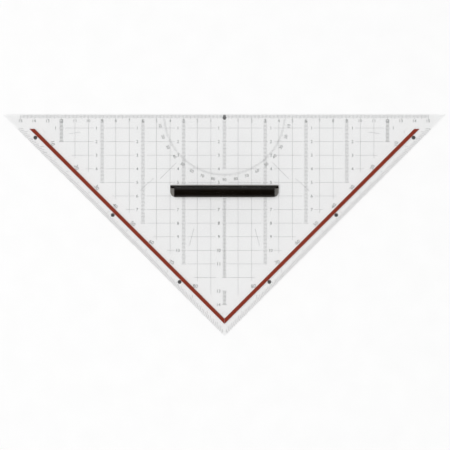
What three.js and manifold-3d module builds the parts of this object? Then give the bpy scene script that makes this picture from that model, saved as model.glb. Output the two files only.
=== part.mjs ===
// A geometry set square for technical drawing: a clear right isosceles triangle with let-in
// strips, printed scales on its underside, and a handle that pulls off upwards.
//
// Millimetres, +Z up. The square lies flat, as on a drawing board: +X runs along the hypotenuse,
// +Y points from the right angle to the hypotenuse, and the origin is under the middle of its box.

import * as THREE from "three";
import { ConvexGeometry } from "three/addons/geometries/ConvexGeometry.js";
import { mergeVertices } from "three/addons/utils/BufferGeometryUtils.js";
import Module from "manifold-3d";

const wasm = await Module();
wasm.setup();

// Plate
const hypotenuseLength = 325;
const plateThickness = 3;
const cornerRadius = 0.5;
const facetWidth = 1;
const facetDepth = 1;

// Nubs under the plate that keep it off wet ink
const nubRadius = 1.6;
const nubHeight = 0.6;
const nubFromLeg = 11.5;
const nubBelowHypotenuse = 13;

// Strips let into the top face, parallel to the legs
const stripFromLeg = 7.8;
const stripWidth = 2.7;
const stripThickness = 1.2;
const stripEndBelowHypotenuse = 10.7;
const stripClearance = 0.1;

// Handle: a base strip with two pegs, and the grip bar on it
const handleBelowHypotenuse = 56.45;
const handleLength = 79.5;
const handleWidth = 9;
const baseThickness = 1.8;
const baseFrontCornerRadius = 4;
const baseRearCornerRadius = 0.5;
const pegSpacing = 60;
const pegRadius = 2.5;
const pegClearance = 0.1;
const pegTipRecess = 0.3;
const pegSlitWidth = 1.2;
const gripHeight = 11;
const gripRearStep = 1.9;
const gripFrontStep = 0.2;
const gripEndStep = 2.9;
const gripHollowDepth = 0.9;
const gripTopRadius = 1;
const gripEdgeRadius = 0.3;
const gripCrown = 0.25;
const gripLipHeight = 1.6;
const gripLipStep = 0.5;
const ribLength = 56;
const ribWidth = 2;
const ribHeight = 4;
const ribClearance = 0.15;

// Print on the underside: each pass of ink is one thin layer
const inkThickness = 0.1;
const gridPitch = 10;
const gridLineWidth = 0.15;
const gridFromLeg = 20;
const gridBelowHypotenuse = 6;
const tickWidth = 0.2;
const columnPitch = 30;
const columnTickPitch = 10;
const columnTickLength = 2.4;
const columnBelowHypotenuse = 4;
const columnFromHandle = 1;
const edgeScaleInset = 1;
const edgeTickPitch = 5;
const edgeTickLength = 1.8;
const edgeLongTickLength = 2.8;
const edgeScaleEndMargin = 12.5;
const arcRadius = 44;
const arcLineWidth = 0.25;
const arcTickLength = 1.6;
const arcLongTickLength = 2.6;
const arcFirstDegrees = 10;
const degreeScaleInset = 0.9;
const degreeTickLength = 2.4;
const degreeLongTickLength = 3.8;
const degreeTickStep = 5;
const markRadius = 1.4;
const markFromLeg = 4.9;
const markAngles = [7, 42, 75];
const zeroMarkBelowHypotenuse = 2.4;

// How finely curves are cut
const cornerSteps = 4;
const roundSides = 32;
const markSides = 20;
const hollowSteps = 10;
const roundSteps = 3;
const cutOverrun = 0.5;
const weldDistance = 0.00005;

// Places worked out from the sizes above
const halfLength = hypotenuseLength / 2;
const sharpHalfLength = halfLength + cornerRadius * Math.SQRT2;
const plateHeight = sharpHalfLength - cornerRadius * (Math.SQRT2 - 1);
const hypotenuseY = plateHeight / 2;
const tipY = hypotenuseY - sharpHalfLength;
const plateBottomZ = nubHeight;
const plateTopZ = plateBottomZ + plateThickness;
const handleY = hypotenuseY - handleBelowHypotenuse;
const baseTopZ = plateTopZ + baseThickness;
const gripWidth = handleWidth - gripRearStep - gripFrontStep;
const gripLength = handleLength - gripEndStep * 2;
const gripY = handleY + (gripFrontStep - gripRearStep) / 2;
const gridSquares = Math.floor((halfLength - gridFromLeg) / gridPitch);

const materials = {
  acrylic: { color: 0xeef3f3, roughness: 0.08, metalness: 0, transparent: true, opacity: 0.35 },
  strip: { color: 0x893625, roughness: 0.45, metalness: 0 },
  base: { color: 0x5b5854, roughness: 0.5, metalness: 0 },
  grip: { color: 0x14110d, roughness: 0.3, metalness: 0 },
  greyInk: { color: 0x6a6d6d, roughness: 0.7, metalness: 0 },
  blackInk: { color: 0x17181a, roughness: 0.7, metalness: 0 },
};

// A mesh with a name and a material of its own.
function named(name, geometry, finish) {
  const mesh = new THREE.Mesh(geometry, new THREE.MeshStandardMaterial(materials[finish]));
  mesh.name = name;
  return mesh;
}

// A closed three.js geometry as a solid that can be joined and cut.
function solid(geometry) {
  const bare = geometry.clone();
  bare.deleteAttribute("normal");
  bare.deleteAttribute("uv");
  const merged = mergeVertices(bare, weldDistance);
  return new wasm.Manifold(
    new wasm.Mesh({
      numProp: 3,
      vertProperties: new Float32Array(merged.attributes.position.array),
      triVerts: new Uint32Array(merged.index.array),
    }),
  );
}

// A solid back as a three.js geometry.
function geometryOf(shape) {
  const { vertProperties, triVerts } = shape.getMesh();
  const geometry = new THREE.BufferGeometry();
  geometry.setAttribute("position", new THREE.BufferAttribute(new Float32Array(vertProperties), 3));
  geometry.setIndex(new THREE.BufferAttribute(new Uint32Array(triVerts), 1));
  geometry.computeVertexNormals();
  return geometry;
}

function joined(solids) {
  return solids.reduce((whole, next) => whole.add(next));
}

// A flat outline pushed up from one height to another.
function slab(outline, lowZ, highZ) {
  const options = { depth: highZ - lowZ, bevelEnabled: false, curveSegments: roundSides / 4 };
  return new THREE.ExtrudeGeometry(outline, options).translate(0, 0, lowZ);
}

function outlineThrough(points) {
  return new THREE.Shape(points.map(([x, y]) => new THREE.Vector2(x, y)));
}

function upright(radius, x, y, lowZ, highZ, sides = roundSides) {
  return new THREE.CylinderGeometry(radius, radius, highZ - lowZ, sides)
    .rotateX(Math.PI / 2)
    .translate(x, y, (lowZ + highZ) / 2);
}

function block(sizeX, sizeY, lowZ, highZ, x, y) {
  return new THREE.BoxGeometry(sizeX, sizeY, highZ - lowZ).translate(x, y, (lowZ + highZ) / 2);
}

// The y of a line parallel to the legs, at a distance inside them, where it crosses a given x.
function legLineY(x, distance) {
  return tipY + Math.abs(x) + distance * Math.SQRT2;
}

// The x, without its sign, where such a line crosses a given y.
function legLineX(y, distance) {
  return y - tipY - distance * Math.SQRT2;
}

// A point on the ray from the zero mark at an angle below the hypotenuse, where it crosses
// the line at a distance inside the leg. side is -1 for the left leg and 1 for the right.
function onRay(degrees, distance, side) {
  const angle = THREE.MathUtils.degToRad(degrees);
  const reach = (sharpHalfLength - distance * Math.SQRT2) / (Math.sin(angle) + Math.cos(angle));
  return [side * reach * Math.cos(angle), hypotenuseY - reach * Math.sin(angle)];
}

// The plate's outline at a height, as points: three corners with a small radius, each moved
// towards the plate's incentre so that all three edges draw in by the same inset.
function plateRing(inset, z) {
  const tipToCentre = cornerRadius / Math.tan(Math.PI / 8);
  const inradius = sharpHalfLength * (Math.SQRT2 - 1);
  const share = inset / (inradius - cornerRadius);
  const corners = [
    { x: sharpHalfLength - tipToCentre, y: hypotenuseY - cornerRadius, from: -45, to: 90 },
    { x: tipToCentre - sharpHalfLength, y: hypotenuseY - cornerRadius, from: 90, to: 225 },
    { x: 0, y: tipY + cornerRadius * Math.SQRT2, from: 225, to: 315 },
  ];
  return corners.flatMap(({ x, y, from, to }) =>
    Array.from({ length: cornerSteps + 1 }, (_, step) => {
      const angle = THREE.MathUtils.degToRad(from + ((to - from) * step) / cornerSteps);
      return new THREE.Vector3(
        x * (1 - share) + cornerRadius * Math.cos(angle),
        y + (hypotenuseY - inradius - y) * share + cornerRadius * Math.sin(angle),
        z,
      );
    }),
  );
}

// The outline of one strip: cut parallel to the hypotenuse at its top, mitred at its foot.
function stripOutline(side) {
  const outer = stripFromLeg - stripWidth / 2;
  const inner = stripFromLeg + stripWidth / 2;
  const endY = hypotenuseY - stripEndBelowHypotenuse;
  const mitreX = stripClearance / 2;
  return outlineThrough([
    [side * mitreX, legLineY(mitreX, outer)],
    [side * legLineX(endY, outer), endY],
    [side * legLineX(endY, inner), endY],
    [side * mitreX, legLineY(mitreX, inner)],
  ]);
}

// The groove for both strips is one V, a clearance wider all round.
function grooveOutline() {
  const outer = stripFromLeg - stripWidth / 2 - stripClearance;
  const inner = stripFromLeg + stripWidth / 2 + stripClearance;
  const endY = hypotenuseY - stripEndBelowHypotenuse + stripClearance;
  return outlineThrough([
    [0, legLineY(0, outer)],
    [legLineX(endY, outer), endY],
    [legLineX(endY, inner), endY],
    [0, legLineY(0, inner)],
    [-legLineX(endY, inner), endY],
    [-legLineX(endY, outer), endY],
  ]);
}

function pegPlaces() {
  return [-1, 1].map((side) => (side * pegSpacing) / 2);
}

// The nubs stand inside the strips, one near each corner.
function nubPlaces() {
  const upperY = hypotenuseY - nubBelowHypotenuse;
  return [
    [-legLineX(upperY, nubFromLeg), upperY],
    [legLineX(upperY, nubFromLeg), upperY],
    [0, legLineY(0, nubFromLeg)],
  ];
}

function plate() {
  const rings = [
    ...plateRing(0, plateBottomZ),
    ...plateRing(0, plateTopZ - facetDepth),
    ...plateRing(facetWidth, plateTopZ),
  ];
  const nubs = nubPlaces().map(([x, y]) =>
    solid(upright(nubRadius, x, y, 0, plateBottomZ + plateThickness / 2)),
  );
  const cuts = [
    solid(slab(grooveOutline(), plateTopZ - stripThickness, plateTopZ + cutOverrun)),
    ...pegPlaces().map((x) =>
      solid(upright(pegRadius + pegClearance, x, handleY, -cutOverrun, plateTopZ + cutOverrun)),
    ),
  ];
  const whole = joined([solid(new ConvexGeometry(rings)), ...nubs]).subtract(joined(cuts));
  return named("plate", geometryOf(whole), "acrylic");
}

function strip(name, side) {
  return named(name, slab(stripOutline(side), plateTopZ - stripThickness, plateTopZ), "strip");
}

// The base strip: nearly square corners behind, large round corners in front.
function baseOutline() {
  const corners = [
    { side: 1, end: 1, radius: baseRearCornerRadius, from: 0 },
    { side: -1, end: 1, radius: baseRearCornerRadius, from: 90 },
    { side: -1, end: -1, radius: baseFrontCornerRadius, from: 180 },
    { side: 1, end: -1, radius: baseFrontCornerRadius, from: 270 },
  ];
  const outline = new THREE.Shape();
  for (const { side, end, radius, from } of corners) {
    const x = side * (handleLength / 2 - radius);
    const y = handleY + end * (handleWidth / 2 - radius);
    const start = THREE.MathUtils.degToRad(from);
    outline.absarc(x, y, radius, start, start + Math.PI / 2);
  }
  return outline;
}

// Each peg is split, so that its two halves spring inwards in the hole.
function handleBase() {
  const tipZ = plateBottomZ + pegTipRecess;
  const pegs = pegPlaces().map((x) =>
    solid(upright(pegRadius, x, handleY, tipZ, plateTopZ + baseThickness / 2)).subtract(
      solid(block(pegSlitWidth, pegRadius * 2 + cutOverrun, tipZ - cutOverrun, plateTopZ, x, handleY)),
    ),
  );
  const ribFootZ = plateTopZ + baseThickness / 2;
  const rib = solid(block(ribLength, ribWidth, ribFootZ, baseTopZ + ribHeight, 0, gripY));
  const sole = solid(slab(baseOutline(), plateTopZ, baseTopZ));
  return named("handle_base", geometryOf(joined([sole, rib, ...pegs])), "base");
}

// The grip's end view: hollow sides for finger and thumb, round top edges and a slight crown.
function gripProfile() {
  const half = gripWidth / 2;
  const sideTop = gripHeight - gripTopRadius - gripCrown;
  const side = Array.from({ length: hollowSteps + 1 }, (_, step) => {
    const share = step / hollowSteps;
    return [half - gripHollowDepth * Math.sin(Math.PI * share) ** 2, sideTop * share];
  });
  const edge = Array.from({ length: roundSteps }, (_, step) => {
    const angle = ((Math.PI / 2) * (step + 1)) / roundSteps;
    return [half - gripTopRadius * (1 - Math.cos(angle)), sideTop + gripTopRadius * Math.sin(angle)];
  });
  const right = [...side, ...edge];
  const left = right.map(([y, z]) => [-y, z]).reverse();
  return outlineThrough([...right, [0, gripHeight], ...left]);
}

// A low lip at the foot of the grip runs behind it, over the whole length of the base. It leaves
// the base's rear edge bare.
function handleGrip() {
  const body = new THREE.ExtrudeGeometry(gripProfile(), {
    depth: gripLength - gripEdgeRadius * 2,
    bevelEnabled: true,
    bevelSegments: 1,
    bevelSize: gripEdgeRadius,
    bevelOffset: -gripEdgeRadius,
    bevelThickness: gripEdgeRadius,
  });
  body.rotateX(Math.PI / 2).rotateZ(Math.PI / 2);
  body.translate(gripEdgeRadius - gripLength / 2, gripY, baseTopZ);
  const groove = block(
    ribLength + ribClearance * 2,
    ribWidth + ribClearance * 2,
    baseTopZ - cutOverrun,
    baseTopZ + ribHeight + ribClearance,
    0,
    gripY,
  );
  const lipWidth = gripRearStep - gripLipStep + cutOverrun;
  const lipY = handleY + (handleWidth - lipWidth) / 2 - gripLipStep;
  const lip = block(handleLength, lipWidth, baseTopZ, baseTopZ + gripLipHeight, 0, lipY);
  const whole = joined([solid(body), solid(lip)]).subtract(solid(groove));
  return named("handle_grip", geometryOf(whole), "grip");
}

// The heights between which a pass of ink lies: the grid touches the plate, the scales lie under it,
// and the arc lies under the scales.
const inkPasses = { grid: 1, scale: 2, arc: 3 };

function inkBand(pass) {
  const lowZ = plateBottomZ - inkThickness * inkPasses[pass];
  return [lowZ, lowZ + inkThickness];
}

function printed(name, outline, pass, finish) {
  return named(name, slab(outline, ...inkBand(pass)), finish);
}

// A scale as one outline: a straight line with ticks. Each tick has its place along the line, and
// where its tip lies from there, on the left hand and on the right of someone walking the line.
function combOutline(start, end, ticks) {
  const along = new THREE.Vector2().subVectors(end, start);
  const length = along.length();
  along.normalize();
  const left = new THREE.Vector2(-along.y, along.x);
  const half = tickWidth / 2;
  const at = (place, offset, tip) =>
    start
      .clone()
      .addScaledVector(along, place)
      .addScaledVector(left, offset)
      .add(tip ?? new THREE.Vector2());
  const tooth = (place, offset, tip) => [
    at(place - half, offset),
    at(place - half, offset, tip),
    at(place + half, offset, tip),
    at(place + half, offset),
  ];
  const teeth = (side, offset) =>
    ticks.filter((tick) => tick[side]).flatMap((tick) => tooth(tick.place, offset, tick[side]));
  return new THREE.Shape([
    at(0, -half),
    ...teeth("right", -half),
    at(length, -half),
    at(length, half),
    ...teeth("left", half).reverse(),
    at(0, half),
  ]);
}

// How far below the hypotenuse the scales reach at a given x, in whole squares of the grid.
function wholeSquaresBelow(x) {
  return Math.floor(gridSquares - Math.abs(x) / gridPitch) * gridPitch;
}

// The grid as a table of cells: a cell lies on a line or between two lines, across and down alike.
// Across, cell 0 is the leftmost upright line. Down, cell 0 is above the first level line.
function gridCellFilled(across, down) {
  const most = gridSquares - 2;
  const uprightLine = Math.abs(across / 2 - most);
  const levelLine = (down + 1) / 2;
  const inRange = down >= 0 && uprightLine <= most;
  const onUpright = across % 2 === 0 && down < (gridSquares - uprightLine) * 2;
  const onLevel = down % 2 === 1 && levelLine <= most && Math.ceil(uprightLine) <= gridSquares - levelLine;
  return inRange && (onUpright || onLevel);
}

// Each filled cell has a top and a bottom, and a wall towards each empty neighbour.
function gridGeometry() {
  const half = gridLineWidth / 2;
  const most = gridSquares - 2;
  const lines = (from, count) => Array.from({ length: count }, (_, step) => (from + step) * gridPitch);
  const bothSides = (place) => [place - half, place + half];
  const xs = lines(-most, most * 2 + 1).flatMap(bothSides);
  const drops = [gridBelowHypotenuse, ...lines(1, gridSquares).flatMap(bothSides)];
  const ys = drops.map((drop) => hypotenuseY - drop);
  const [low, high] = inkBand("grid");
  const corners = [];
  const quad = (a, b, c, d) => corners.push(...a, ...b, ...c, ...a, ...c, ...d);
  for (let i = 0; i < xs.length - 1; i += 1)
    for (let j = 0; j < ys.length - 1; j += 1) {
      if (!gridCellFilled(i, j)) continue;
      const [x0, x1] = [xs[i], xs[i + 1]];
      const [y0, y1] = [ys[j + 1], ys[j]];
      quad([x0, y0, high], [x1, y0, high], [x1, y1, high], [x0, y1, high]);
      quad([x0, y1, low], [x1, y1, low], [x1, y0, low], [x0, y0, low]);
      if (!gridCellFilled(i - 1, j)) quad([x0, y1, low], [x0, y0, low], [x0, y0, high], [x0, y1, high]);
      if (!gridCellFilled(i + 1, j)) quad([x1, y0, low], [x1, y1, low], [x1, y1, high], [x1, y0, high]);
      if (!gridCellFilled(i, j + 1)) quad([x0, y0, low], [x1, y0, low], [x1, y0, high], [x0, y0, high]);
      if (!gridCellFilled(i, j - 1)) quad([x1, y1, low], [x0, y1, low], [x0, y1, high], [x1, y1, high]);
    }
  const geometry = new THREE.BufferGeometry();
  geometry.setAttribute("position", new THREE.Float32BufferAttribute(corners, 3));
  geometry.computeVertexNormals();
  return geometry;
}

// An upright scale: a line with a tick across it at each step.
function column(name, x, from, to, finish) {
  const ticks = [];
  const left = new THREE.Vector2((columnTickLength - tickWidth) / 2, 0);
  const right = left.clone().negate();
  const first = Math.ceil(from / columnTickPitch) * columnTickPitch;
  for (let drop = first; drop < to; drop += columnTickPitch)
    ticks.push({ place: drop - from, left, right });
  const start = new THREE.Vector2(x, hypotenuseY - from);
  const end = new THREE.Vector2(x, hypotenuseY - to);
  return printed(name, combOutline(start, end, ticks), "scale", finish);
}

function columns() {
  const made = [];
  for (let x = columnPitch; wholeSquaresBelow(x) > gridPitch; x += columnPitch)
    for (const [word, side] of [["left", -1], ["right", 1]]) {
      const name = `print_column_${word}_${x / gridPitch}`;
      const end = wholeSquaresBelow(x) + tickWidth;
      made.push(column(name, side * x, columnBelowHypotenuse, end, "greyInk"));
    }
  return made;
}

// The middle scale breaks off inside the protractor, under the handle and above the right angle.
function middleColumns() {
  const lowest = wholeSquaresBelow(0);
  const handleFoot = handleBelowHypotenuse + handleWidth / 2 + columnFromHandle;
  const upperEnd = Math.floor(arcRadius / gridPitch) * gridPitch + tickWidth;
  const lowerEnd = lowest - gridPitch * 2 + tickWidth;
  return [
    column("print_column_middle_upper", 0, columnBelowHypotenuse, upperEnd, "greyInk"),
    column("print_column_middle_lower", 0, handleFoot, lowerEnd, "blackInk"),
    column("print_column_middle_tip", 0, lowest - gridPitch, lowest + tickWidth, "greyInk"),
  ];
}

// The scale along the hypotenuse, with its zero in the middle.
function edgeScale() {
  const y = hypotenuseY - edgeScaleInset;
  const reach = Math.floor((halfLength - edgeScaleEndMargin) / edgeTickPitch) * edgeTickPitch;
  const ticks = [];
  for (let x = -reach; x <= reach; x += edgeTickPitch) {
    const length = x % gridPitch ? edgeTickLength : edgeLongTickLength;
    ticks.push({ place: x + reach + tickWidth, right: new THREE.Vector2(0, -length) });
  }
  const start = new THREE.Vector2(-reach - tickWidth, y);
  const end = new THREE.Vector2(reach + tickWidth, y);
  return printed("print_edge_scale", combOutline(start, end, ticks), "scale", "greyInk");
}

// The protractor: a half ring about the zero mark, with ticks that point outwards.
function protractorArc() {
  const half = arcLineWidth / 2;
  const halfTick = tickWidth / 2 / arcRadius;
  const at = (radius, angle) => [-radius * Math.cos(angle), hypotenuseY - radius * Math.sin(angle)];
  const first = THREE.MathUtils.degToRad(arcFirstDegrees) - halfTick;
  const lastDegrees = 180 - arcFirstDegrees;
  const outer = [];
  const inner = [];
  for (let degrees = arcFirstDegrees; degrees <= lastDegrees; degrees += degreeTickStep) {
    const angle = THREE.MathUtils.degToRad(degrees);
    const length = degrees % (degreeTickStep * 2) ? arcTickLength : arcLongTickLength;
    outer.push(at(arcRadius + half, angle - halfTick), at(arcRadius + length, angle - halfTick));
    outer.push(at(arcRadius + length, angle + halfTick), at(arcRadius + half, angle + halfTick));
    inner.push(at(arcRadius - half, angle));
  }
  inner[0] = at(arcRadius - half, first);
  inner[inner.length - 1] = at(arcRadius - half, Math.PI - first);
  const outline = outlineThrough([...outer, ...inner.reverse()]);
  return printed("print_protractor_arc", outline, "arc", "greyInk");
}

// The degree scale along a leg: a line parallel to the edge, with ticks aimed at the zero mark.
function degreeScale(name, side) {
  const first = degreeTickStep * 2;
  const last = 90 - degreeTickStep;
  const onSpine = (degrees) => new THREE.Vector2(...onRay(degrees, degreeScaleInset, side));
  const start = onSpine(first);
  const ticks = [];
  for (let degrees = first; degrees <= last; degrees += degreeTickStep) {
    const length = degrees % (degreeTickStep * 2) ? degreeTickLength : degreeLongTickLength;
    const foot = onSpine(degrees);
    const tip = new THREE.Vector2(...onRay(degrees, degreeScaleInset + length, side)).sub(foot);
    ticks.push({ place: foot.distanceTo(start) + tickWidth, [side < 0 ? "left" : "right"]: tip });
  }
  const along = new THREE.Vector2().subVectors(onSpine(last), start).setLength(tickWidth);
  const outline = combOutline(start.clone().sub(along), onSpine(last).add(along), ticks);
  return printed(name, outline, "scale", "greyInk");
}

function mark(name, [x, y], finish) {
  const [lowZ, highZ] = inkBand("grid");
  return named(name, upright(markRadius, x, y, lowZ, highZ, markSides), finish);
}

function zeroMark() {
  return mark("mark_zero", [0, hypotenuseY - zeroMarkBelowHypotenuse], "greyInk");
}

function angleMarks() {
  return markAngles.flatMap((degrees) =>
    [["left", -1], ["right", 1]].map(([word, side]) => {
      const name = `mark_${word}_${degrees}_degrees`;
      return mark(name, onRay(degrees, markFromLeg, side), "blackInk");
    }),
  );
}

const setSquare = new THREE.Group();
setSquare.add(plate());
setSquare.add(strip("strip_left", -1), strip("strip_right", 1));
setSquare.add(handleBase(), handleGrip());
setSquare.add(named("print_grid", gridGeometry(), "greyInk"));
setSquare.add(edgeScale(), ...columns(), ...middleColumns(), protractorArc());
setSquare.add(degreeScale("print_degrees_left", -1), degreeScale("print_degrees_right", 1));
setSquare.add(zeroMark(), ...angleMarks());

export default setSquare;
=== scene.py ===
# %% [markdown]
# # A geometry set square with a lift-off handle
#
# This is a drafting set square: a clear acrylic triangle, 325 mm along its long side. Its scales
# are printed underneath, two brick-red strips are let into its top, and a black handle is pushed
# into two holes. The frame holds the measured solids, and each cell below builds one finer piece
# in the same place, from the same sizes. We work in metres, with the drawing board at z = 0.

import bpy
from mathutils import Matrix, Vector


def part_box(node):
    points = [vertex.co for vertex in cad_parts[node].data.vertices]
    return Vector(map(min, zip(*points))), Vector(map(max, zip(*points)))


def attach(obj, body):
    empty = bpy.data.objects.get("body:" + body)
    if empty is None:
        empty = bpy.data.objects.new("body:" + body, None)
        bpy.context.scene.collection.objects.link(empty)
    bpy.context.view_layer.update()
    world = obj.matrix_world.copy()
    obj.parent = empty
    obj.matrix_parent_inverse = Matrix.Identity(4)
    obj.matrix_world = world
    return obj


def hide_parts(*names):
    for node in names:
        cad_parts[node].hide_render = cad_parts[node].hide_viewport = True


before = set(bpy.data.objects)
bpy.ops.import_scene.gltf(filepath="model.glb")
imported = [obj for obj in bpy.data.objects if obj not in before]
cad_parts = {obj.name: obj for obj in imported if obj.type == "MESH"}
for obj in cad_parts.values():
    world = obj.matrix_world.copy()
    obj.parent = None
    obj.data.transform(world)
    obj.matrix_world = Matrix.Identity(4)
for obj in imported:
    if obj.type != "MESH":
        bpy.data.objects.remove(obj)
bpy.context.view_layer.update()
print("nodes in the frame:", len(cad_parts))

# %% [markdown]
# ## The sizes that everything shares
#
# A set square is laid out from its long side, the hypotenuse, and from the zero mark in the
# middle of it. So every place below is given as a distance below the hypotenuse, a distance
# inside a leg, or an angle about the zero mark. We read the outer sizes from the frame, so that
# the pieces can't drift away from it.

# %% Sizes
import math

import bmesh
import bpy
from mathutils import Matrix, Vector

mm = 0.001
plate_low, plate_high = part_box("plate")
top_z = plate_high.z
bottom_z = 0.6 * mm
hypotenuse_y = plate_high.y
corner_radius = 0.5 * mm
sharp_half = 162.5 * mm + corner_radius * math.sqrt(2)
tip_y = hypotenuse_y - sharp_half
print("plate:", [round(v / mm, 2) for v in plate_high - plate_low], "mm")


# %% Places on the plate
def leg_y(x, inset):
    """y of the line at a distance inside both legs, where it crosses x."""
    return tip_y + abs(x) + inset * math.sqrt(2)


def leg_x(y, inset):
    """x of the same line, on the right, where it crosses y."""
    return y - tip_y - inset * math.sqrt(2)


def on_arc(degrees, radius):
    """A point at an angle about the zero mark: 0 is on the left, 90 straight down."""
    angle = math.radians(degrees)
    return Vector((-radius * math.cos(angle), hypotenuse_y - radius * math.sin(angle), 0))


def on_leg(degrees, inset):
    """Where that ray crosses the line at a distance inside the leg."""
    angle = math.radians(degrees)
    reach = (sharp_half - inset * math.sqrt(2)) / (math.sin(angle) + abs(math.cos(angle)))
    return on_arc(degrees, reach)


print("tip of the right angle:", [round(v / mm, 2) for v in on_leg(90, 0)])


# %% [markdown]
# ## Turning a mesh into a piece
#
# A bmesh is Blender's workshop for meshes: we start from a few vertices or a simple shape, and
# operators extrude, cut and bevel it. When a piece is done it becomes an object, gets its
# material, and rides on the body it belongs to: the plate, or the handle that lifts off it.

# %% Helpers for finished pieces
def extruded(outline, low, high):
    """A bmesh prism from a flat outline of (x, y) points."""
    bm = bmesh.new()
    bm.faces.new([bm.verts.new((x, y, low)) for x, y in outline])
    made = bmesh.ops.extrude_face_region(bm, geom=bm.faces[:])["geom"]
    lifted = [v for v in made if isinstance(v, bmesh.types.BMVert)]
    bmesh.ops.translate(bm, verts=lifted, vec=(0, 0, high - low))
    bmesh.ops.recalc_face_normals(bm, faces=bm.faces)
    return bm


def round_edges(bm, edges, radius, segments):
    """Rounds the edges off. It stops where two rounded edges would run into each other."""
    bmesh.ops.bevel(
        bm, geom=edges, offset=radius, offset_type="OFFSET", segments=segments,
        profile=0.5, affect="EDGES", clamp_overlap=True, material=-1,
    )


def open_edges(bm):
    """How many edges don't lie between two faces: 0 on a closed solid."""
    return sum(1 for edge in bm.edges if len(edge.link_faces) != 2)


def as_object(name, bm):
    """The bmesh as an object at the origin. The bmesh itself is used up."""
    mesh = bpy.data.meshes.new(name)
    bm.to_mesh(mesh)
    bm.free()
    made = bpy.data.objects.new(name, mesh)
    bpy.context.scene.collection.objects.link(made)
    return made


def finished(name, bm, finish, body, slot, *stands_for, smooth_below=30):
    """The object of a finished piece. Edges sharper than the angle stay crisp."""
    bmesh.ops.recalc_face_normals(bm, faces=bm.faces)
    loose = open_edges(bm)
    piece = as_object(name, bm)
    mesh = piece.data
    mesh.polygons.foreach_set("use_smooth", [True] * len(mesh.polygons))
    mesh.set_sharp_from_angle(angle=math.radians(smooth_below))
    mesh.materials.append(finish)
    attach(piece, body)
    if stands_for:
        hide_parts(*stands_for)
    mesh.calc_loop_triangles()
    print(f"{name}: {len(mesh.loop_triangles)} triangles, {loose} open edges")
    return piece


# %% Joining and cutting
weld = 0.0002 * mm


def combined(bm, tool, operation):
    """The solid that is left when tool is joined to bm or cut from it."""
    base, other = as_object("work_base", bm), as_object("work_tool", tool)
    step = base.modifiers.new("work", "BOOLEAN")
    step.operation = operation
    step.object = other
    step.solver = "EXACT"
    graph = bpy.context.evaluated_depsgraph_get()
    result = bmesh.new()
    result.from_object(base, graph)
    bmesh.ops.remove_doubles(result, verts=result.verts, dist=weld)
    bmesh.ops.dissolve_limit(
        result, angle_limit=math.radians(0.2), verts=result.verts, edges=result.edges
    )
    for used in (base, other):
        mesh = used.data
        bpy.data.objects.remove(used)
        bpy.data.meshes.remove(mesh)
    return result


def block(size, centre):
    """A box of that size about a centre."""
    bm = bmesh.new()
    place = Matrix.Translation(centre) @ Matrix.Diagonal((*size, 1))
    bmesh.ops.create_cube(bm, size=1, matrix=place)
    return bm


def disc(radius, x, y, low, high, sides):
    """An upright round bar between two heights."""
    bm = bmesh.new()
    place = Matrix.Translation((x, y, (low + high) / 2))
    bmesh.ops.create_cone(
        bm, cap_ends=True, cap_tris=False, segments=sides,
        radius1=radius, radius2=radius, depth=high - low, matrix=place,
    )
    return bm


print("ready: block, disc and the boolean tool")


# %% [markdown]
# ## Finishes
#
# No surface of a real tool is one even colour. Moulded plastic has a fine grain, rubbed edges
# shine, and ink lies on in grains of a screen mesh. Each finish below is a small node tree on
# Object coordinates, so that the pattern stays on its piece when the handle lifts. Numbers that
# are the same all over are set straight on the shader.

# %% Node helpers
def new_finish(name, **numbers):
    """A material with one shader, whose even numbers are set by name."""
    finish = bpy.data.materials.new(name)
    finish.use_nodes = True
    tree = finish.node_tree
    shader = tree.nodes["Principled BSDF"]
    for socket, value in numbers.items():
        shader.inputs[socket.replace("_", " ")].default_value = value
    return finish, tree, shader


def noise(tree, scale, detail=3.0, stretch=(1, 1, 1), turn=0.0):
    """A noise pattern on Object coordinates, finer with a larger scale."""
    coordinates = tree.nodes.new("ShaderNodeTexCoord")
    mapping = tree.nodes.new("ShaderNodeMapping")
    mapping.inputs["Scale"].default_value = stretch
    mapping.inputs["Rotation"].default_value = (0, 0, turn)
    pattern = tree.nodes.new("ShaderNodeTexNoise")
    pattern.inputs["Scale"].default_value = scale
    pattern.inputs["Detail"].default_value = detail
    tree.links.new(coordinates.outputs["Object"], mapping.inputs["Vector"])
    tree.links.new(mapping.outputs["Vector"], pattern.inputs["Vector"])
    return pattern.outputs["Fac"]


def between(tree, factor, low, high):
    """The factor, about 0.3 to 0.7, stretched between two values or two colours."""
    if isinstance(low, tuple):
        ramp = tree.nodes.new("ShaderNodeValToRGB")
        ramp.color_ramp.elements[0].position = 0.3
        ramp.color_ramp.elements[1].position = 0.7
        ramp.color_ramp.elements[0].color = (*low, 1)
        ramp.color_ramp.elements[1].color = (*high, 1)
        tree.links.new(factor, ramp.inputs["Fac"])
        return ramp.outputs["Color"]
    spread = tree.nodes.new("ShaderNodeMapRange")
    for socket, value in zip(("From Min", "From Max", "To Min", "To Max"), (0.3, 0.7, low, high)):
        spread.inputs[socket].default_value = value
    tree.links.new(factor, spread.inputs["Value"])
    return spread.outputs["Result"]


def bumpy(tree, shader, height, depth, strength=1.0):
    """Lets a pattern tilt the light on the surface, as relief of that depth would."""
    bump = tree.nodes.new("ShaderNodeBump")
    bump.inputs["Distance"].default_value = depth
    bump.inputs["Strength"].default_value = strength
    tree.links.new(height, bump.inputs["Height"])
    tree.links.new(bump.outputs["Normal"], shader.inputs["Normal"])


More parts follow.
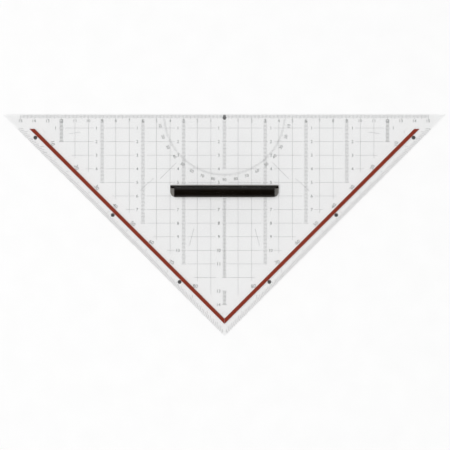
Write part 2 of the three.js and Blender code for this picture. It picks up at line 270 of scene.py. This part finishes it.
# %% [markdown]
# ### Clear acrylic
#
# Cast acrylic bends light like glass, with an index of 1.49. It could be made from a Glass shader
# alone, but then lamps would throw hard, noisy patterns on the board. So rays that ask whether a
# lamp is in sight, and rays that leave the board or the ink to gather light, pass through a plain
# Transparent shader. A ray that enters the sheet's narrow wall would bounce between its two faces
# dozens of times, and Blender gives up on it and paints black, where a real wall is pale. So a ray
# that has bounced once leaves at the next face too, a little weaker. Every other ray meets the
# real thing. Very slow waves and a film of fine scratches keep it from looking like air.

# %% Clear acrylic
def clear_acrylic():
    finish, tree, shader = new_finish(
        "clear_acrylic", Transmission_Weight=1.0, IOR=1.49, Specular_IOR_Level=0.5
    )
    tint = between(tree, noise(tree, 9.0, 2.0), (0.96, 0.962, 0.962), (0.972, 0.974, 0.974))
    tree.links.new(tint, shader.inputs["Base Color"])
    scratches = noise(tree, 260.0, 4.0, (1, 0.05, 1), math.radians(20))
    tree.links.new(between(tree, scratches, 0.015, 0.07), shader.inputs["Roughness"])
    bumpy(tree, shader, noise(tree, 26.0, 1.0), 0.02 * mm, 0.25)
    path = tree.nodes.new("ShaderNodeLightPath")
    surface = shader.outputs["BSDF"]
    kept_shares = {"Is Reflection Ray": 0.8, "Is Shadow Ray": 0.975, "Is Diffuse Ray": 0.975}
    for kind, kept in kept_shares.items():
        open_way = tree.nodes.new("ShaderNodeBsdfTransparent")
        open_way.inputs["Color"].default_value = (kept, kept, kept, 1)
        mix = tree.nodes.new("ShaderNodeMixShader")
        tree.links.new(path.outputs[kind], mix.inputs["Fac"])
        tree.links.new(surface, mix.inputs[1])
        tree.links.new(open_way.outputs["BSDF"], mix.inputs[2])
        surface = mix.outputs["Shader"]
    tree.links.new(surface, tree.nodes["Material Output"].inputs["Surface"])
    return finish


acrylic = clear_acrylic()
print("finish:", acrylic.name)


# %% [markdown]
# ### Brick-red strips, black plastics and ink
#
# The strips are an opaque brick red with a satin top. The handle's foot has a fine, greyish
# moulded grain, and the bar on it is nearly black with a soft shine that varies a little from
# place to place. The printed lines are ink: matt, slightly uneven, grey for most scales, black
# for the lower middle one, and a thinner coat of black for the round marks.

# %% Opaque finishes
def strip_plastic():
    finish, tree, shader = new_finish("strip_plastic", Specular_IOR_Level=0.4)
    streaks = noise(tree, 180.0, 3.0)
    tree.links.new(
        between(tree, streaks, (0.225, 0.029, 0.0135), (0.262, 0.035, 0.0165)),
        shader.inputs["Base Color"],
    )
    tree.links.new(between(tree, noise(tree, 420.0), 0.38, 0.52), shader.inputs["Roughness"])
    bumpy(tree, shader, noise(tree, 2600.0, 2.0), 0.004 * mm, 0.5)
    return finish


def foot_plastic():
    finish, tree, shader = new_finish("foot_plastic", Specular_IOR_Level=0.5)
    clouds = noise(tree, 700.0, 4.0)
    tree.links.new(
        between(tree, clouds, (0.18, 0.17, 0.158), (0.23, 0.219, 0.205)),
        shader.inputs["Base Color"],
    )
    tree.links.new(between(tree, noise(tree, 1500.0), 0.5, 0.68), shader.inputs["Roughness"])
    bumpy(tree, shader, noise(tree, 5200.0, 2.0), 0.012 * mm, 0.6)
    return finish


def bar_plastic():
    finish, tree, shader = new_finish("bar_plastic", Specular_IOR_Level=0.24)
    clouds = noise(tree, 160.0, 3.0)
    tree.links.new(
        between(tree, clouds, (0.0026, 0.0014, 0.0005), (0.0042, 0.0025, 0.0012)),
        shader.inputs["Base Color"],
    )
    tree.links.new(between(tree, noise(tree, 90.0, 4.0), 0.2, 0.3), shader.inputs["Roughness"])
    bumpy(tree, shader, noise(tree, 4200.0, 2.0), 0.002 * mm, 0.5)
    return finish


def ink(name, dark, light):
    finish, tree, shader = new_finish(name, Specular_IOR_Level=0.25)
    grains = noise(tree, 3800.0, 2.0)
    tree.links.new(between(tree, grains, dark, light), shader.inputs["Base Color"])
    tree.links.new(between(tree, noise(tree, 900.0), 0.55, 0.75), shader.inputs["Roughness"])
    bumpy(tree, shader, grains, 0.004 * mm, 0.4)
    return finish


strip_finish, foot_finish, bar_finish = strip_plastic(), foot_plastic(), bar_plastic()
grey_ink = ink("grey_ink", (0.16, 0.162, 0.164), (0.21, 0.212, 0.214))
black_ink = ink("black_ink", (0.05, 0.049, 0.048), (0.068, 0.066, 0.064))
mark_ink = ink("mark_ink", (0.094, 0.093, 0.092), (0.118, 0.116, 0.114))
print("finishes:", len(bpy.data.materials))

# %% [markdown]
# ## The acrylic plate
#
# The real plate is cut from a 3 mm sheet. Its three edges are milled to a thin facet on top,
# so that a pencil point meets the board close to the scale. We do the same in the same order: a
# triangle, its corners rounded, is raised to a sheet, and three slanting cuts with bisect_plane
# leave the facets. Then three low feet are joined on underneath: they hold the plate off wet ink.
# Their sides slope gently, because light passes through a gentle slope, and a steep one shows as
# a dark ring. Last, the groove for the strips and the two handle holes are cut out. The feet come
# before the holes, because a flat face with holes in it is split by long edges, and a foot on top
# of such an edge gets stray corners.

# %% The sheet and its facets
facet = 1 * mm


def sheet_of_acrylic():
    """The triangle with its rounded corners, raised to the sheet's thickness."""
    bm = bmesh.new()
    places = ((-sharp_half, hypotenuse_y), (0, tip_y), (sharp_half, hypotenuse_y))
    corners = [bm.verts.new((x, y, bottom_z)) for x, y in places]
    bm.faces.new(corners)
    sharp_reach = 3 * corner_radius
    for corner, offset in zip(corners, (sharp_reach, corner_radius, sharp_reach)):
        bmesh.ops.bevel(
            bm, geom=[corner], offset=offset, offset_type="OFFSET", segments=6,
            profile=0.5, affect="VERTICES", material=-1,
        )
    made = bmesh.ops.extrude_face_region(bm, geom=bm.faces[:])["geom"]
    lifted = [v for v in made if isinstance(v, bmesh.types.BMVert)]
    bmesh.ops.translate(bm, verts=lifted, vec=(0, 0, top_z - bottom_z))
    return bm


def mill_facet(bm, point, outwards):
    """Takes off what lies above a 45 degree plane through an edge of the sheet."""
    slant = (Vector(outwards) + Vector((0, 0, 1))).normalized()
    bmesh.ops.bisect_plane(
        bm, geom=bm.verts[:] + bm.edges[:] + bm.faces[:], dist=1e-8,
        plane_co=(*point, top_z - facet), plane_no=slant, clear_outer=True,
    )
    rim = [edge for edge in bm.edges if edge.is_boundary]
    bmesh.ops.holes_fill(bm, edges=rim, sides=0)


plate_mesh = sheet_of_acrylic()
slope = math.sqrt(0.5)
mill_facet(plate_mesh, (0, hypotenuse_y), (0, 1, 0))
mill_facet(plate_mesh, (0, tip_y), (-slope, -slope, 0))
mill_facet(plate_mesh, (0, tip_y), (slope, -slope, 0))
print("faces of the sheet:", len(plate_mesh.faces), "open edges:", open_edges(plate_mesh))

# %% Feet, groove and holes
strip_middle, strip_width, strip_depth = 7.8 * mm, 2.7 * mm, 1.2 * mm
strip_end_y = hypotenuse_y - 10.7 * mm
clearance = 0.1 * mm
handle_y = hypotenuse_y - 56.45 * mm
peg_x, peg_radius = 30 * mm, 2.5 * mm
overrun = 0.5 * mm
round_sides = 64
nub_radius, nub_flare, nub_rim = 1.1 * mm, 2.3, 0.4 * mm


def groove_tool():
    """What is cut out for both strips: their outline with the clearance all round."""
    outer = strip_middle - strip_width / 2 - clearance
    inner = strip_middle + strip_width / 2 + clearance
    end_y = strip_end_y + clearance
    outline = (
        (0, leg_y(0, outer)), (leg_x(end_y, outer), end_y), (leg_x(end_y, inner), end_y),
        (0, leg_y(0, inner)), (-leg_x(end_y, inner), end_y), (-leg_x(end_y, outer), end_y),
    )
    return extruded(outline, top_z - strip_depth, top_z + overrun)


def nub(x, y):
    """A low round foot with a sloping side and a soft rim."""
    bm = disc(nub_radius, x, y, 0, bottom_z + overrun, round_sides)
    upper = [v for v in bm.verts if v.co.z > overrun / 2]
    spread = Matrix.Diagonal((nub_flare, nub_flare, 1, 1))
    bmesh.ops.transform(bm, matrix=spread, verts=upper, space=Matrix.Translation((-x, -y, 0)))
    rim = [e for e in bm.edges if all(v.co.z < overrun / 2 for v in e.verts)]
    round_edges(bm, rim, nub_rim, 6)
    return bm


nub_inset, nub_y = 11.5 * mm, hypotenuse_y - 13 * mm
nub_x = leg_x(nub_y, nub_inset)
for x, y in ((-nub_x, nub_y), (nub_x, nub_y), (0, leg_y(0, nub_inset))):
    plate_mesh = combined(plate_mesh, nub(x, y), "UNION")
plate_mesh = combined(plate_mesh, groove_tool(), "DIFFERENCE")
hole_radius = peg_radius + clearance
for side in (-1, 1):
    hole = disc(hole_radius, side * peg_x, handle_y, -overrun, top_z + overrun, round_sides)
    plate_mesh = combined(plate_mesh, hole, "DIFFERENCE")
finished("acrylic_plate", plate_mesh, acrylic, "plate", "clear_acrylic", "plate")

# %% [markdown]
# ## The two strips
#
# Each strip is a flat bar of plastic that lies in the groove, flush with the plate. Its outer end
# is cut parallel to the hypotenuse, and its inner end is mitred to meet the other strip above the
# right angle. We draw its four corners, extrude them, and round the long edges by a hair, which
# gives the thin line of light that a let-in strip shows.

# %% Strips
strip_soft_edge = 0.12 * mm


def strip(side):
    """One strip: side is -1 for the left one and 1 for the right one."""
    outer, inner = strip_middle - strip_width / 2, strip_middle + strip_width / 2
    mitre_x = clearance / 2
    outline = (
        (side * mitre_x, leg_y(mitre_x, outer)), (side * leg_x(strip_end_y, outer), strip_end_y),
        (side * leg_x(strip_end_y, inner), strip_end_y), (side * mitre_x, leg_y(mitre_x, inner)),
    )
    bm = extruded(outline, top_z - strip_depth, top_z)
    upper = [e for e in bm.edges if all(v.co.z > top_z - overrun for v in e.verts)]
    round_edges(bm, upper, strip_soft_edge, 3)
    return bm


for word, side in (("left", -1), ("right", 1)):
    finished(f"red_strip_{word}", strip(side), strip_finish, "plate", "red_strip", f"strip_{word}")

# %% [markdown]
# ## The handle's foot
#
# The foot is one moulding: a thin sole on the plate, a rib on top that the bar is pressed onto,
# and two pegs below that grip the plate. Each peg is split, so that its halves spring together
# in the hole. The sole has small corners behind and large round ones in front, so its outline is
# beveled corner by corner before it is raised.

# %% Sole, rib and split pegs
foot_length, foot_width, foot_height = 79.5 * mm, 9 * mm, 1.8 * mm
foot_top = top_z + foot_height
front_corner, rear_corner, soft_edge = 4 * mm, 0.5 * mm, 0.25 * mm
bar_forward = 0.85 * mm
bar_y = handle_y - bar_forward
rib_length, rib_width, rib_height = 56 * mm, 2 * mm, 4 * mm
peg_recess, peg_chamfer = 0.3 * mm, 0.45 * mm
slit_width, slit_height = 1.2 * mm, 4 * mm


def sole():
    """The thin foot plate, with each corner rounded by its own radius."""
    half_x, half_y = foot_length / 2, foot_width / 2
    bm = bmesh.new()
    places = ((-half_x, -half_y), (half_x, -half_y), (half_x, half_y), (-half_x, half_y))
    corners = [bm.verts.new((x, handle_y + y, top_z)) for x, y in places]
    bm.faces.new(corners)
    radii = (front_corner, front_corner, rear_corner, rear_corner)
    for corner, radius in zip(corners, radii):
        bmesh.ops.bevel(
            bm, geom=[corner], offset=radius, offset_type="OFFSET", segments=8,
            profile=0.5, affect="VERTICES", material=-1,
        )
    made = bmesh.ops.extrude_face_region(bm, geom=bm.faces[:])["geom"]
    lifted = [v for v in made if isinstance(v, bmesh.types.BMVert)]
    bmesh.ops.translate(bm, verts=lifted, vec=(0, 0, foot_height))
    upper = [e for e in bm.edges if all(v.co.z > top_z + foot_height / 2 for v in e.verts)]
    round_edges(bm, upper, soft_edge, 3)
    return bm


def peg(x):
    """A round peg with a chamfered tip and a slit from below."""
    tip = bottom_z + peg_recess
    bm = disc(peg_radius, x, handle_y, tip, top_z + foot_height / 2, round_sides)
    rim = [e for e in bm.edges if all(v.co.z < tip + overrun for v in e.verts)]
    round_edges(bm, rim, peg_chamfer, 2)
    slit_size = (slit_width, 2 * (peg_radius + overrun), slit_height)
    slit = block(slit_size, (x, handle_y, top_z - slit_height / 2))
    return combined(bm, slit, "DIFFERENCE")


foot = sole()
for side in (-1, 1):
    foot = combined(foot, peg(side * peg_x), "UNION")
rib = block(
    (rib_length, rib_width, rib_height + foot_height / 2),
    (0, bar_y, foot_top + rib_height / 2 - foot_height / 4),
)
foot = combined(foot, rib, "UNION")
finished("handle_foot", foot, foot_finish, "handle", "base_plastic", "handle_base")

# %% [markdown]
# ## The handle's bar
#
# Finger and thumb hold the bar by its two hollow sides. Its end view is one outline: a flat foot,
# a hollow on each side, and a crowned top that rolls over softly, more so at the back. We draw
# that outline once and extrude it to the bar's length, as an extruder would, and then round the
# two ends. A low lip runs behind the bar, and a slot underneath takes the foot's rib.

# %% Bar
bar_length, bar_width, bar_height = 73.7 * mm, 6.9 * mm, 11 * mm
hollow, end_round = 0.9 * mm, 0.45 * mm
front_roll, front_rise = 1.9 * mm, 1.1 * mm
back_roll, back_rise = 3 * mm, 1.35 * mm


def bar_outline():
    """The end view as (y, z) points, from the foot at the front round to the foot at the back."""
    half = bar_width / 2
    front_top, back_top = bar_height - front_rise, bar_height - back_rise
    steps = 14

    def side(top):
        """The hollow side, from the foot up to where the top edge rolls over."""
        shares = [step / steps for step in range(steps + 1)]
        return [(half - hollow * math.sin(math.pi * s) ** 2, top * s) for s in shares]

    def rolled(width, top):
        """The rounded edge from the side's top to the crown, as part of an ellipse."""
        turns = [math.radians(90 * step / 8) for step in range(1, 9)]
        rise = bar_height - top
        return [(half - width * (1 - math.cos(t)), top + rise * math.sin(t)) for t in turns]

    front = side(front_top) + rolled(front_roll, front_top)
    back = side(back_top) + rolled(back_roll, back_top)
    outline = [(-y, z) for y, z in front] + back[::-1]
    return [(bar_y + y, foot_top + z) for y, z in outline]


def bar():
    """The outline drawn out to the bar's length, with the rims of both ends rounded."""
    bm = bmesh.new()
    ends = [bm.verts.new((-bar_length / 2, y, z)) for y, z in bar_outline()]
    bm.faces.new(ends)
    made = bmesh.ops.extrude_face_region(bm, geom=bm.faces[:])["geom"]
    moved = [v for v in made if isinstance(v, bmesh.types.BMVert)]
    bmesh.ops.translate(bm, verts=moved, vec=(bar_length, 0, 0))
    bmesh.ops.recalc_face_normals(bm, faces=bm.faces)
    rims = [
        e for e in bm.edges
        if abs(e.verts[0].co.x - e.verts[1].co.x) < 1e-6 and e.calc_face_angle() > 1
    ]
    round_edges(bm, rims, end_round, 4)
    return bm


bar_mesh = bar()
lip_width, lip_height = 1.9 * mm, 1.6 * mm
lip_step, lip_round = 0.5 * mm, 1.2 * mm
lip_back_y = handle_y + foot_width / 2 - lip_step
lip = block(
    (foot_length, lip_width, lip_height),
    (0, lip_back_y - lip_width / 2, foot_top + lip_height / 2),
)
lip_top = [e for e in lip.edges if all(v.co.z > foot_top + lip_height / 2 for v in e.verts)]
lip_back = [e for e in lip_top if all(v.co.y > lip_back_y - overrun for v in e.verts)]
round_edges(lip, lip_back, lip_round, 6)
bar_mesh = combined(bar_mesh, lip, "UNION")
rib_gap = 0.15 * mm
slot = block(
    (rib_length + 2 * rib_gap, rib_width + 2 * rib_gap, rib_height + rib_gap + overrun),
    (0, bar_y, foot_top + (rib_height + rib_gap - overrun) / 2),
)
bar_mesh = combined(bar_mesh, slot, "DIFFERENCE")
finished("handle_bar", bar_mesh, bar_finish, "handle", "grip_plastic", "handle_grip")

# %% [markdown]
# ## Print
#
# The scales are screen printed on the underside, where no pencil can rub them off, and are read
# through the clear plate. Screen ink has a thickness, so each line is a very thin closed bar. One
# piece holds a whole scale: we place a cube for every tick and stretch it to the line's length
# and width. Numbers come from Blender's own text, made into a mesh once for each number, scaled
# to a height of 1, and copied to every place.

# %% Ink helpers
ink_layers = {"grid": 0.5 * mm, "scale": 0.4 * mm, "arc": 0.3 * mm}
ink_depth, ink_gap = 0.08 * mm, 0.01 * mm
edge = hypotenuse_y


def line(bm, start, end, width, layer):
    """One thin bar of ink from one point to another."""
    along = Vector(end) - Vector(start)
    middle = (Vector(start) + Vector(end)) / 2
    low = ink_layers[layer] + ink_gap
    place = (
        Matrix.Translation((middle.x, middle.y, low + ink_depth / 2))
        @ Matrix.Rotation(math.atan2(along.y, along.x), 4, "Z")
        @ Matrix.Diagonal((along.length, width, ink_depth, 1))
    )
    bmesh.ops.create_cube(bm, size=1, matrix=place)


number_shapes = {}


def number_shape(text):
    """The number as a mesh of height 1 and thickness 1, centred on the origin."""
    if text not in number_shapes:
        curve = bpy.data.curves.new("number", "FONT")
        curve.body = text
        curve.extrude = 0.5
        curve.resolution_u = 3
        curve.offset = -0.008
        writing = bpy.data.objects.new("number", curve)
        bpy.context.scene.collection.objects.link(writing)
        graph = bpy.context.evaluated_depsgraph_get()
        mesh = bpy.data.meshes.new_from_object(writing.evaluated_get(graph))
        bpy.data.objects.remove(writing)
        places = [v.co for v in mesh.vertices]
        low = Vector(min(p[i] for p in places) for i in range(3))
        high = Vector(max(p[i] for p in places) for i in range(3))
        middle = (low + high) / 2
        size = high.y - low.y
        mesh.transform(Matrix.Diagonal((1 / size, 1 / size, 1, 1)) @ Matrix.Translation(-middle))
        number_shapes[text] = mesh
    return number_shapes[text]


def number(bm, value, height, x, y, layer, turn=0.0):
    """A printed number, centred on a point and turned about it."""
    known = len(bm.verts)
    bm.from_mesh(number_shape(str(value)))
    bm.verts.ensure_lookup_table()
    low = ink_layers[layer] + ink_gap
    place = (
        Matrix.Translation((x, y, low + ink_depth / 2))
        @ Matrix.Rotation(turn, 4, "Z")
        @ Matrix.Diagonal((height, height, ink_depth, 1))
    )
    bmesh.ops.transform(bm, matrix=place, verts=bm.verts[known:])


def printed(name, bm, finish, slot, *stands_for):
    """A finished piece of print. It always rides on the plate."""
    bmesh.ops.remove_doubles(bm, verts=bm.verts, dist=weld / 2)
    return finished(name, bm, finish, "plate", slot, *stands_for)


print("layers of ink:", ", ".join(ink_layers))


# %% [markdown]
# ### The centimetre grid
#
# Upright lines stand every centimetre on both sides of the zero mark, and run down to the last
# whole square before the leg. Level lines lie every centimetre below the hypotenuse. They break
# off around each upright scale, where the numbers stand.

# %% Grid
cm = 10 * mm
squares = 14
scale_places = (-12, -9, -6, -3, 0, 3, 6, 9, 12)
grid_width, run_on = 0.11 * mm, 2.5 * mm
grid_top, widest, shortest = edge - 6 * mm, 12 * cm, 1 * mm


def lowest_square(x_cm):
    """The number of whole squares between the hypotenuse and the leg."""
    return squares - abs(x_cm)


def gap_beside(x_cm):
    """How far a level line stops before a scale, on its left and on its right, in metres."""
    numbers, bare = 6.3 * mm, 2.8 * mm
    return (numbers, bare) if x_cm <= 0 else (bare, numbers)


def level_pieces(row):
    """The stretches of a level line, from left to right, between the upright scales."""
    reach = (squares - row) * cm + run_on
    reach = min(reach, widest)
    start, pieces = -reach, []
    for x_cm in scale_places:
        if lowest_square(x_cm) < row:
            continue
        left, right = gap_beside(x_cm)
        pieces.append((start, x_cm * cm - left))
        start = x_cm * cm + right
    pieces.append((start, reach))
    return [(a, b) for a, b in pieces if b - a > shortest]


grid = bmesh.new()
for x_cm in range(-12, 13):
    if x_cm in scale_places:
        continue
    foot_y = edge - lowest_square(x_cm) * cm - run_on
    line(grid, (x_cm * cm, grid_top, 0), (x_cm * cm, foot_y, 0), grid_width, "grid")
for row in range(1, 13):
    for a, b in level_pieces(row):
        line(grid, (a, edge - row * cm, 0), (b, edge - row * cm, 0), grid_width, "grid")
printed("grid_lines", grid, grey_ink, "grey_ink", "print_grid")

# %% [markdown]
# ### Millimetre scales
#
# The scale along the hypotenuse counts outwards from zero. Its millimetre ticks start just
# inside the facet, with a longer one every 5 mm and a longer one still every 10 mm. The upright
# scales have the same three kinds of tick, centred on their line, and count downwards.

# %% Scale along the hypotenuse
tick_width, tick_inset = 0.16 * mm, 0.9 * mm
edge_ticks = (1.7, 2.2, 2.7)
edge_number, edge_number_drop = 2.1 * mm, 4.7 * mm


def tick_length(steps, short, middle, long):
    """The length of a tick: the middle one at every fifth step, the long one at every tenth."""
    if steps % 10 == 0:
        return long
    return middle if steps % 5 == 0 else short


edge_scale = bmesh.new()
for step in range(-150, 151):
    if step == 0:
        continue
    length = tick_length(step, *edge_ticks) * mm
    x, start_y = step * mm, edge - tick_inset
    line(edge_scale, (x, start_y, 0), (x, start_y - length, 0), tick_width, "scale")
for x_cm in range(-15, 16):
    if x_cm:
        number(edge_scale, abs(x_cm), edge_number, x_cm * cm, edge - edge_number_drop, "scale")
printed("edge_scale", edge_scale, grey_ink, "grey_ink", "print_edge_scale")


# %% Upright scales
upright_ticks = (1.2, 1.45, 1.7)
upright_number, number_out = 2.2 * mm, 4.2 * mm


def upright_scale(x_cm, first_mm, last_mm, numbers, width=0.19 * mm, spine=0.0):
    """Ticks from one distance below the hypotenuse to another, numbers, and a spine if it has one."""
    bm = bmesh.new()
    for drop in range(first_mm, last_mm + 1):
        half = tick_length(drop, *upright_ticks) * mm
        y = edge - drop * mm
        line(bm, (x_cm * cm - half, y, 0), (x_cm * cm + half, y, 0), width, "scale")
    if spine:
        top, low = edge - first_mm * mm, edge - last_mm * mm
        line(bm, (x_cm * cm, top, 0), (x_cm * cm, low, 0), spine, "scale")
    side = -1 if x_cm <= 0 else 1
    for drop in numbers:
        x = x_cm * cm + side * number_out
        number(bm, drop, upright_number, x, edge - drop * cm, "scale")
    return bm


for x_cm in (3, 6, 9, 12):
    for word, side in (("left", -1), ("right", 1)):
        width = 0.28 * mm if x_cm == 12 else 0.19 * mm
        last = lowest_square(x_cm)
        bm = upright_scale(side * x_cm, 4, last * 10, range(1, last), width)
        printed(f"column_{word}_{x_cm}", bm, grey_ink, "grey_ink", f"print_column_{word}_{x_cm}")
middle_scale = upright_scale(0, 4, 40, range(1, 6))
printed("column_middle_upper", middle_scale, grey_ink, "grey_ink", "print_column_middle_upper")
middle_scale = upright_scale(0, 62, 120, range(7, 12), width=0.17 * mm, spine=0.05 * mm)
printed("column_middle_lower", middle_scale, black_ink, "black_ink", "print_column_middle_lower")
middle_scale = upright_scale(0, 130, 140, (13, 14), width=0.26 * mm)
printed("column_middle_tip", middle_scale, grey_ink, "grey_ink", "print_column_middle_tip")

# %% [markdown]
# ### The protractor
#
# A half ring about the zero mark carries a tick for every degree, with numbers outside it. The
# same angles are marked far more finely along the two legs, where the ticks of a half degree
# still stand a millimetre apart. Every tick there is aimed at the zero mark, so the numbers are
# turned to it too, and each stands square off the leg from its tick. Short pieces of four rays
# lead the eye from the ring to the round marks.

# %% Ring
ring_radius, ring_number_radius = 43.6 * mm, 48 * mm
ring_ticks, ring_tick_width = (1.5, 1.9, 2.3), 0.11 * mm
ring_number = 2.1 * mm
ring = bmesh.new()
for degrees in range(5, 176):
    length = tick_length(degrees, *ring_ticks) * mm
    line(
        ring, on_arc(degrees, ring_radius), on_arc(degrees, ring_radius + length),
        ring_tick_width, "arc",
    )
for degrees in range(10, 180, 10):
    shown = degrees if degrees <= 90 else 180 - degrees
    place = on_arc(degrees, ring_number_radius)
    number(ring, shown, ring_number, place.x, place.y, "arc", math.radians(degrees - 90))
printed("protractor_ring", ring, grey_ink, "grey_ink", "print_protractor_arc")


# %% Degrees along the legs
leg_ticks, half_degree_tick = (2.5, 3.2, 3.9), 1.9 * mm
leg_number, leg_number_inset, leg_number_shift = 2.6 * mm, 9.4 * mm, 1.6 * mm


def leg_degrees(side):
    """The scale of one leg: half degrees, whole ones, fives and tens."""
    bm = bmesh.new()
    for half_steps in range(8, 180):
        degrees = half_steps / 2
        if degrees % 1:
            length = half_degree_tick
        else:
            length = tick_length(int(degrees), *leg_ticks) * mm
        angle = degrees if side < 0 else 180 - degrees
        outer, inner = on_leg(angle, tick_inset), on_leg(angle, tick_inset + length)
        line(bm, outer, inner, tick_width, "scale")
    for degrees in range(10, 90, 10):
        angle = degrees if side < 0 else 180 - degrees
        shift = Vector((-side, 1, 0)).normalized() * leg_number_shift
        place = on_leg(angle, leg_number_inset) + shift
        number(bm, degrees, leg_number, place.x, place.y, "scale", math.radians(angle - 90))
    return bm


for word, side in (("left", -1), ("right", 1)):
    bm = leg_degrees(side)
    printed(f"leg_degrees_{word}", bm, grey_ink, "grey_ink", f"print_degrees_{word}")

# %% Rays and round marks
ray_width = 0.12 * mm
mark_radius, mark_inset, zero_drop = 1.4 * mm, 4.9 * mm, 2.4 * mm
rays = bmesh.new()
for degrees, start, end in ((45, 50, 67), (42, 70, 84), (75, 87, 100), (7, 107, 115)):
    for angle in (degrees, 180 - degrees):
        line(rays, on_arc(angle, start * mm), on_arc(angle, end * mm), ray_width, "scale")
printed("angle_rays", rays, grey_ink, "grey_ink")


def round_mark(place):
    """A round spot of ink, in the layer of the grid."""
    low = ink_layers["grid"] + ink_gap
    return disc(mark_radius, place.x, place.y, low, low + ink_depth, 32)


for degrees in (7, 42, 75):
    for word, angle in (("left", degrees), ("right", 180 - degrees)):
        bm = round_mark(on_leg(angle, mark_inset))
        printed(f"dot_{word}_{degrees}", bm, mark_ink, "black_ink", f"mark_{word}_{degrees}_degrees")
zero = round_mark(Vector((0, edge - zero_drop, 0)))
printed("dot_zero", zero, grey_ink, "grey_ink", "mark_zero")

# %% [markdown]
# ## Board, light and camera
#
# The set square lies on a white board. White comes from the board's colour, with a little glow
# that only the camera, mirrors and clear things see, so the soft shadow stays. One large soft
# lamp hangs far above, where it lights print and board evenly through the clear plate. It shows
# in no reflection, because its mirror image in the plate would hide the print. The sky is white
# all round, but mirrors find it dark straight above: that keeps the flat top of the bar black,
# and only its rounded edges catch the light.

# %% Rays that see a background
def seen_rays(tree):
    """1 for the rays of the camera, of mirrors and of clear things, and 0 for all others."""
    path = tree.nodes.new("ShaderNodeLightPath")
    total = path.outputs["Is Camera Ray"]
    for kind in ("Is Glossy Ray", "Is Transmission Ray"):
        more = tree.nodes.new("ShaderNodeMath")
        more.operation = "MAXIMUM"
        tree.links.new(total, more.inputs[0])
        tree.links.new(path.outputs[kind], more.inputs[1])
        total = more.outputs[0]
    return total


def level_for(tree, seen, others, seen_level):
    """A strength that is one level for the rays above and another for all others."""
    level = tree.nodes.new("ShaderNodeMapRange")
    level.inputs["To Min"].default_value = others
    level.inputs["To Max"].default_value = seen_level
    tree.links.new(seen, level.inputs["Value"])
    return level.outputs["Result"]


# %% Board
board_gap, board_half = 0.02 * mm, 1.5


def board_finish():
    """Matt white card, with a glow added for the rays that see a background."""
    finish, tree, shader = new_finish("board", Specular_IOR_Level=0.0, Roughness=1.0)
    fibres = noise(tree, 60.0, 4.0)
    colour = between(tree, fibres, (0.86, 0.86, 0.86), (0.88, 0.88, 0.88))
    tree.links.new(colour, shader.inputs["Base Color"])
    glow = tree.nodes.new("ShaderNodeEmission")
    tree.links.new(level_for(tree, seen_rays(tree), 0.0, 0.175), glow.inputs["Strength"])
    total = tree.nodes.new("ShaderNodeAddShader")
    tree.links.new(shader.outputs["BSDF"], total.inputs[0])
    tree.links.new(glow.outputs["Emission"], total.inputs[1])
    tree.links.new(total.outputs["Shader"], tree.nodes["Material Output"].inputs["Surface"])
    return finish


board_mesh = bmesh.new()
place = Matrix.Translation((0, 0, -board_gap))
bmesh.ops.create_grid(board_mesh, x_segments=1, y_segments=1, size=board_half, matrix=place)
board = as_object("board", board_mesh)
board.data.materials.append(board_finish())
print("board:", board_half * 2, "m wide")

# %% Sky
world = bpy.data.worlds.new("sky")
bpy.context.scene.world = world
world.use_nodes = True
sky = world.node_tree
direction = sky.nodes.new("ShaderNodeTexCoord")
parts = sky.nodes.new("ShaderNodeSeparateXYZ")
fade = sky.nodes.new("ShaderNodeValToRGB")
fade.color_ramp.interpolation = "EASE"
fade.color_ramp.elements[0].position = 0.7
fade.color_ramp.elements[0].color = (1, 1, 1, 1)
fade.color_ramp.elements[1].position = 0.99
fade.color_ramp.elements[1].color = (0.04, 0.04, 0.04, 1)
sky.links.new(direction.outputs["Generated"], parts.inputs["Vector"])
sky.links.new(parts.outputs["Z"], fade.inputs["Fac"])
path = sky.nodes.new("ShaderNodeLightPath")
colour = sky.nodes.new("ShaderNodeMix")
colour.data_type = "RGBA"
colour.inputs["A"].default_value = (1, 1, 1, 1)
sky.links.new(path.outputs["Is Glossy Ray"], colour.inputs["Factor"])
sky.links.new(fade.outputs["Color"], colour.inputs["B"])
sky.links.new(colour.outputs["Result"], sky.nodes["Background"].inputs["Color"])
strength = level_for(sky, seen_rays(sky), 0.26, 1.0)
sky.links.new(strength, sky.nodes["Background"].inputs["Strength"])
print("sky: white, and dark overhead for mirrors")


# %% Lamp
def soft_box(name, place, size, watts):
    """A square lamp that looks at the middle of the set square and shows in no reflection."""
    lamp = bpy.data.lights.new(name, "AREA")
    lamp.size = size
    lamp.energy = watts
    holder = bpy.data.objects.new(name, lamp)
    holder.location = place
    holder.rotation_euler = (-Vector(place)).to_track_quat("-Z", "Y").to_euler()
    holder.visible_glossy = False
    holder.visible_transmission = False
    bpy.context.scene.collection.objects.link(holder)


soft_box("soft_box", place=(-0.25, 0, 3.2), size=1.1, watts=71)
print("lamps:", len(bpy.data.lights))

# %% Camera
camera_data = bpy.data.cameras.new("camera")
camera_data.lens = 300
camera_data.sensor_width = 36
camera_data.clip_end = 10
camera = bpy.data.objects.new("camera", camera_data)
frame_width, aside, ahead = 330.9 * mm, 0.4 * mm, 0.14 * mm
height = frame_width * camera_data.lens / camera_data.sensor_width
camera.location = (aside, ahead, top_z + height)
bpy.context.scene.collection.objects.link(camera)
bpy.context.scene.camera = camera
bpy.context.scene.view_settings.view_transform = "Standard"
print(f"camera {height:.3f} m above the plate")
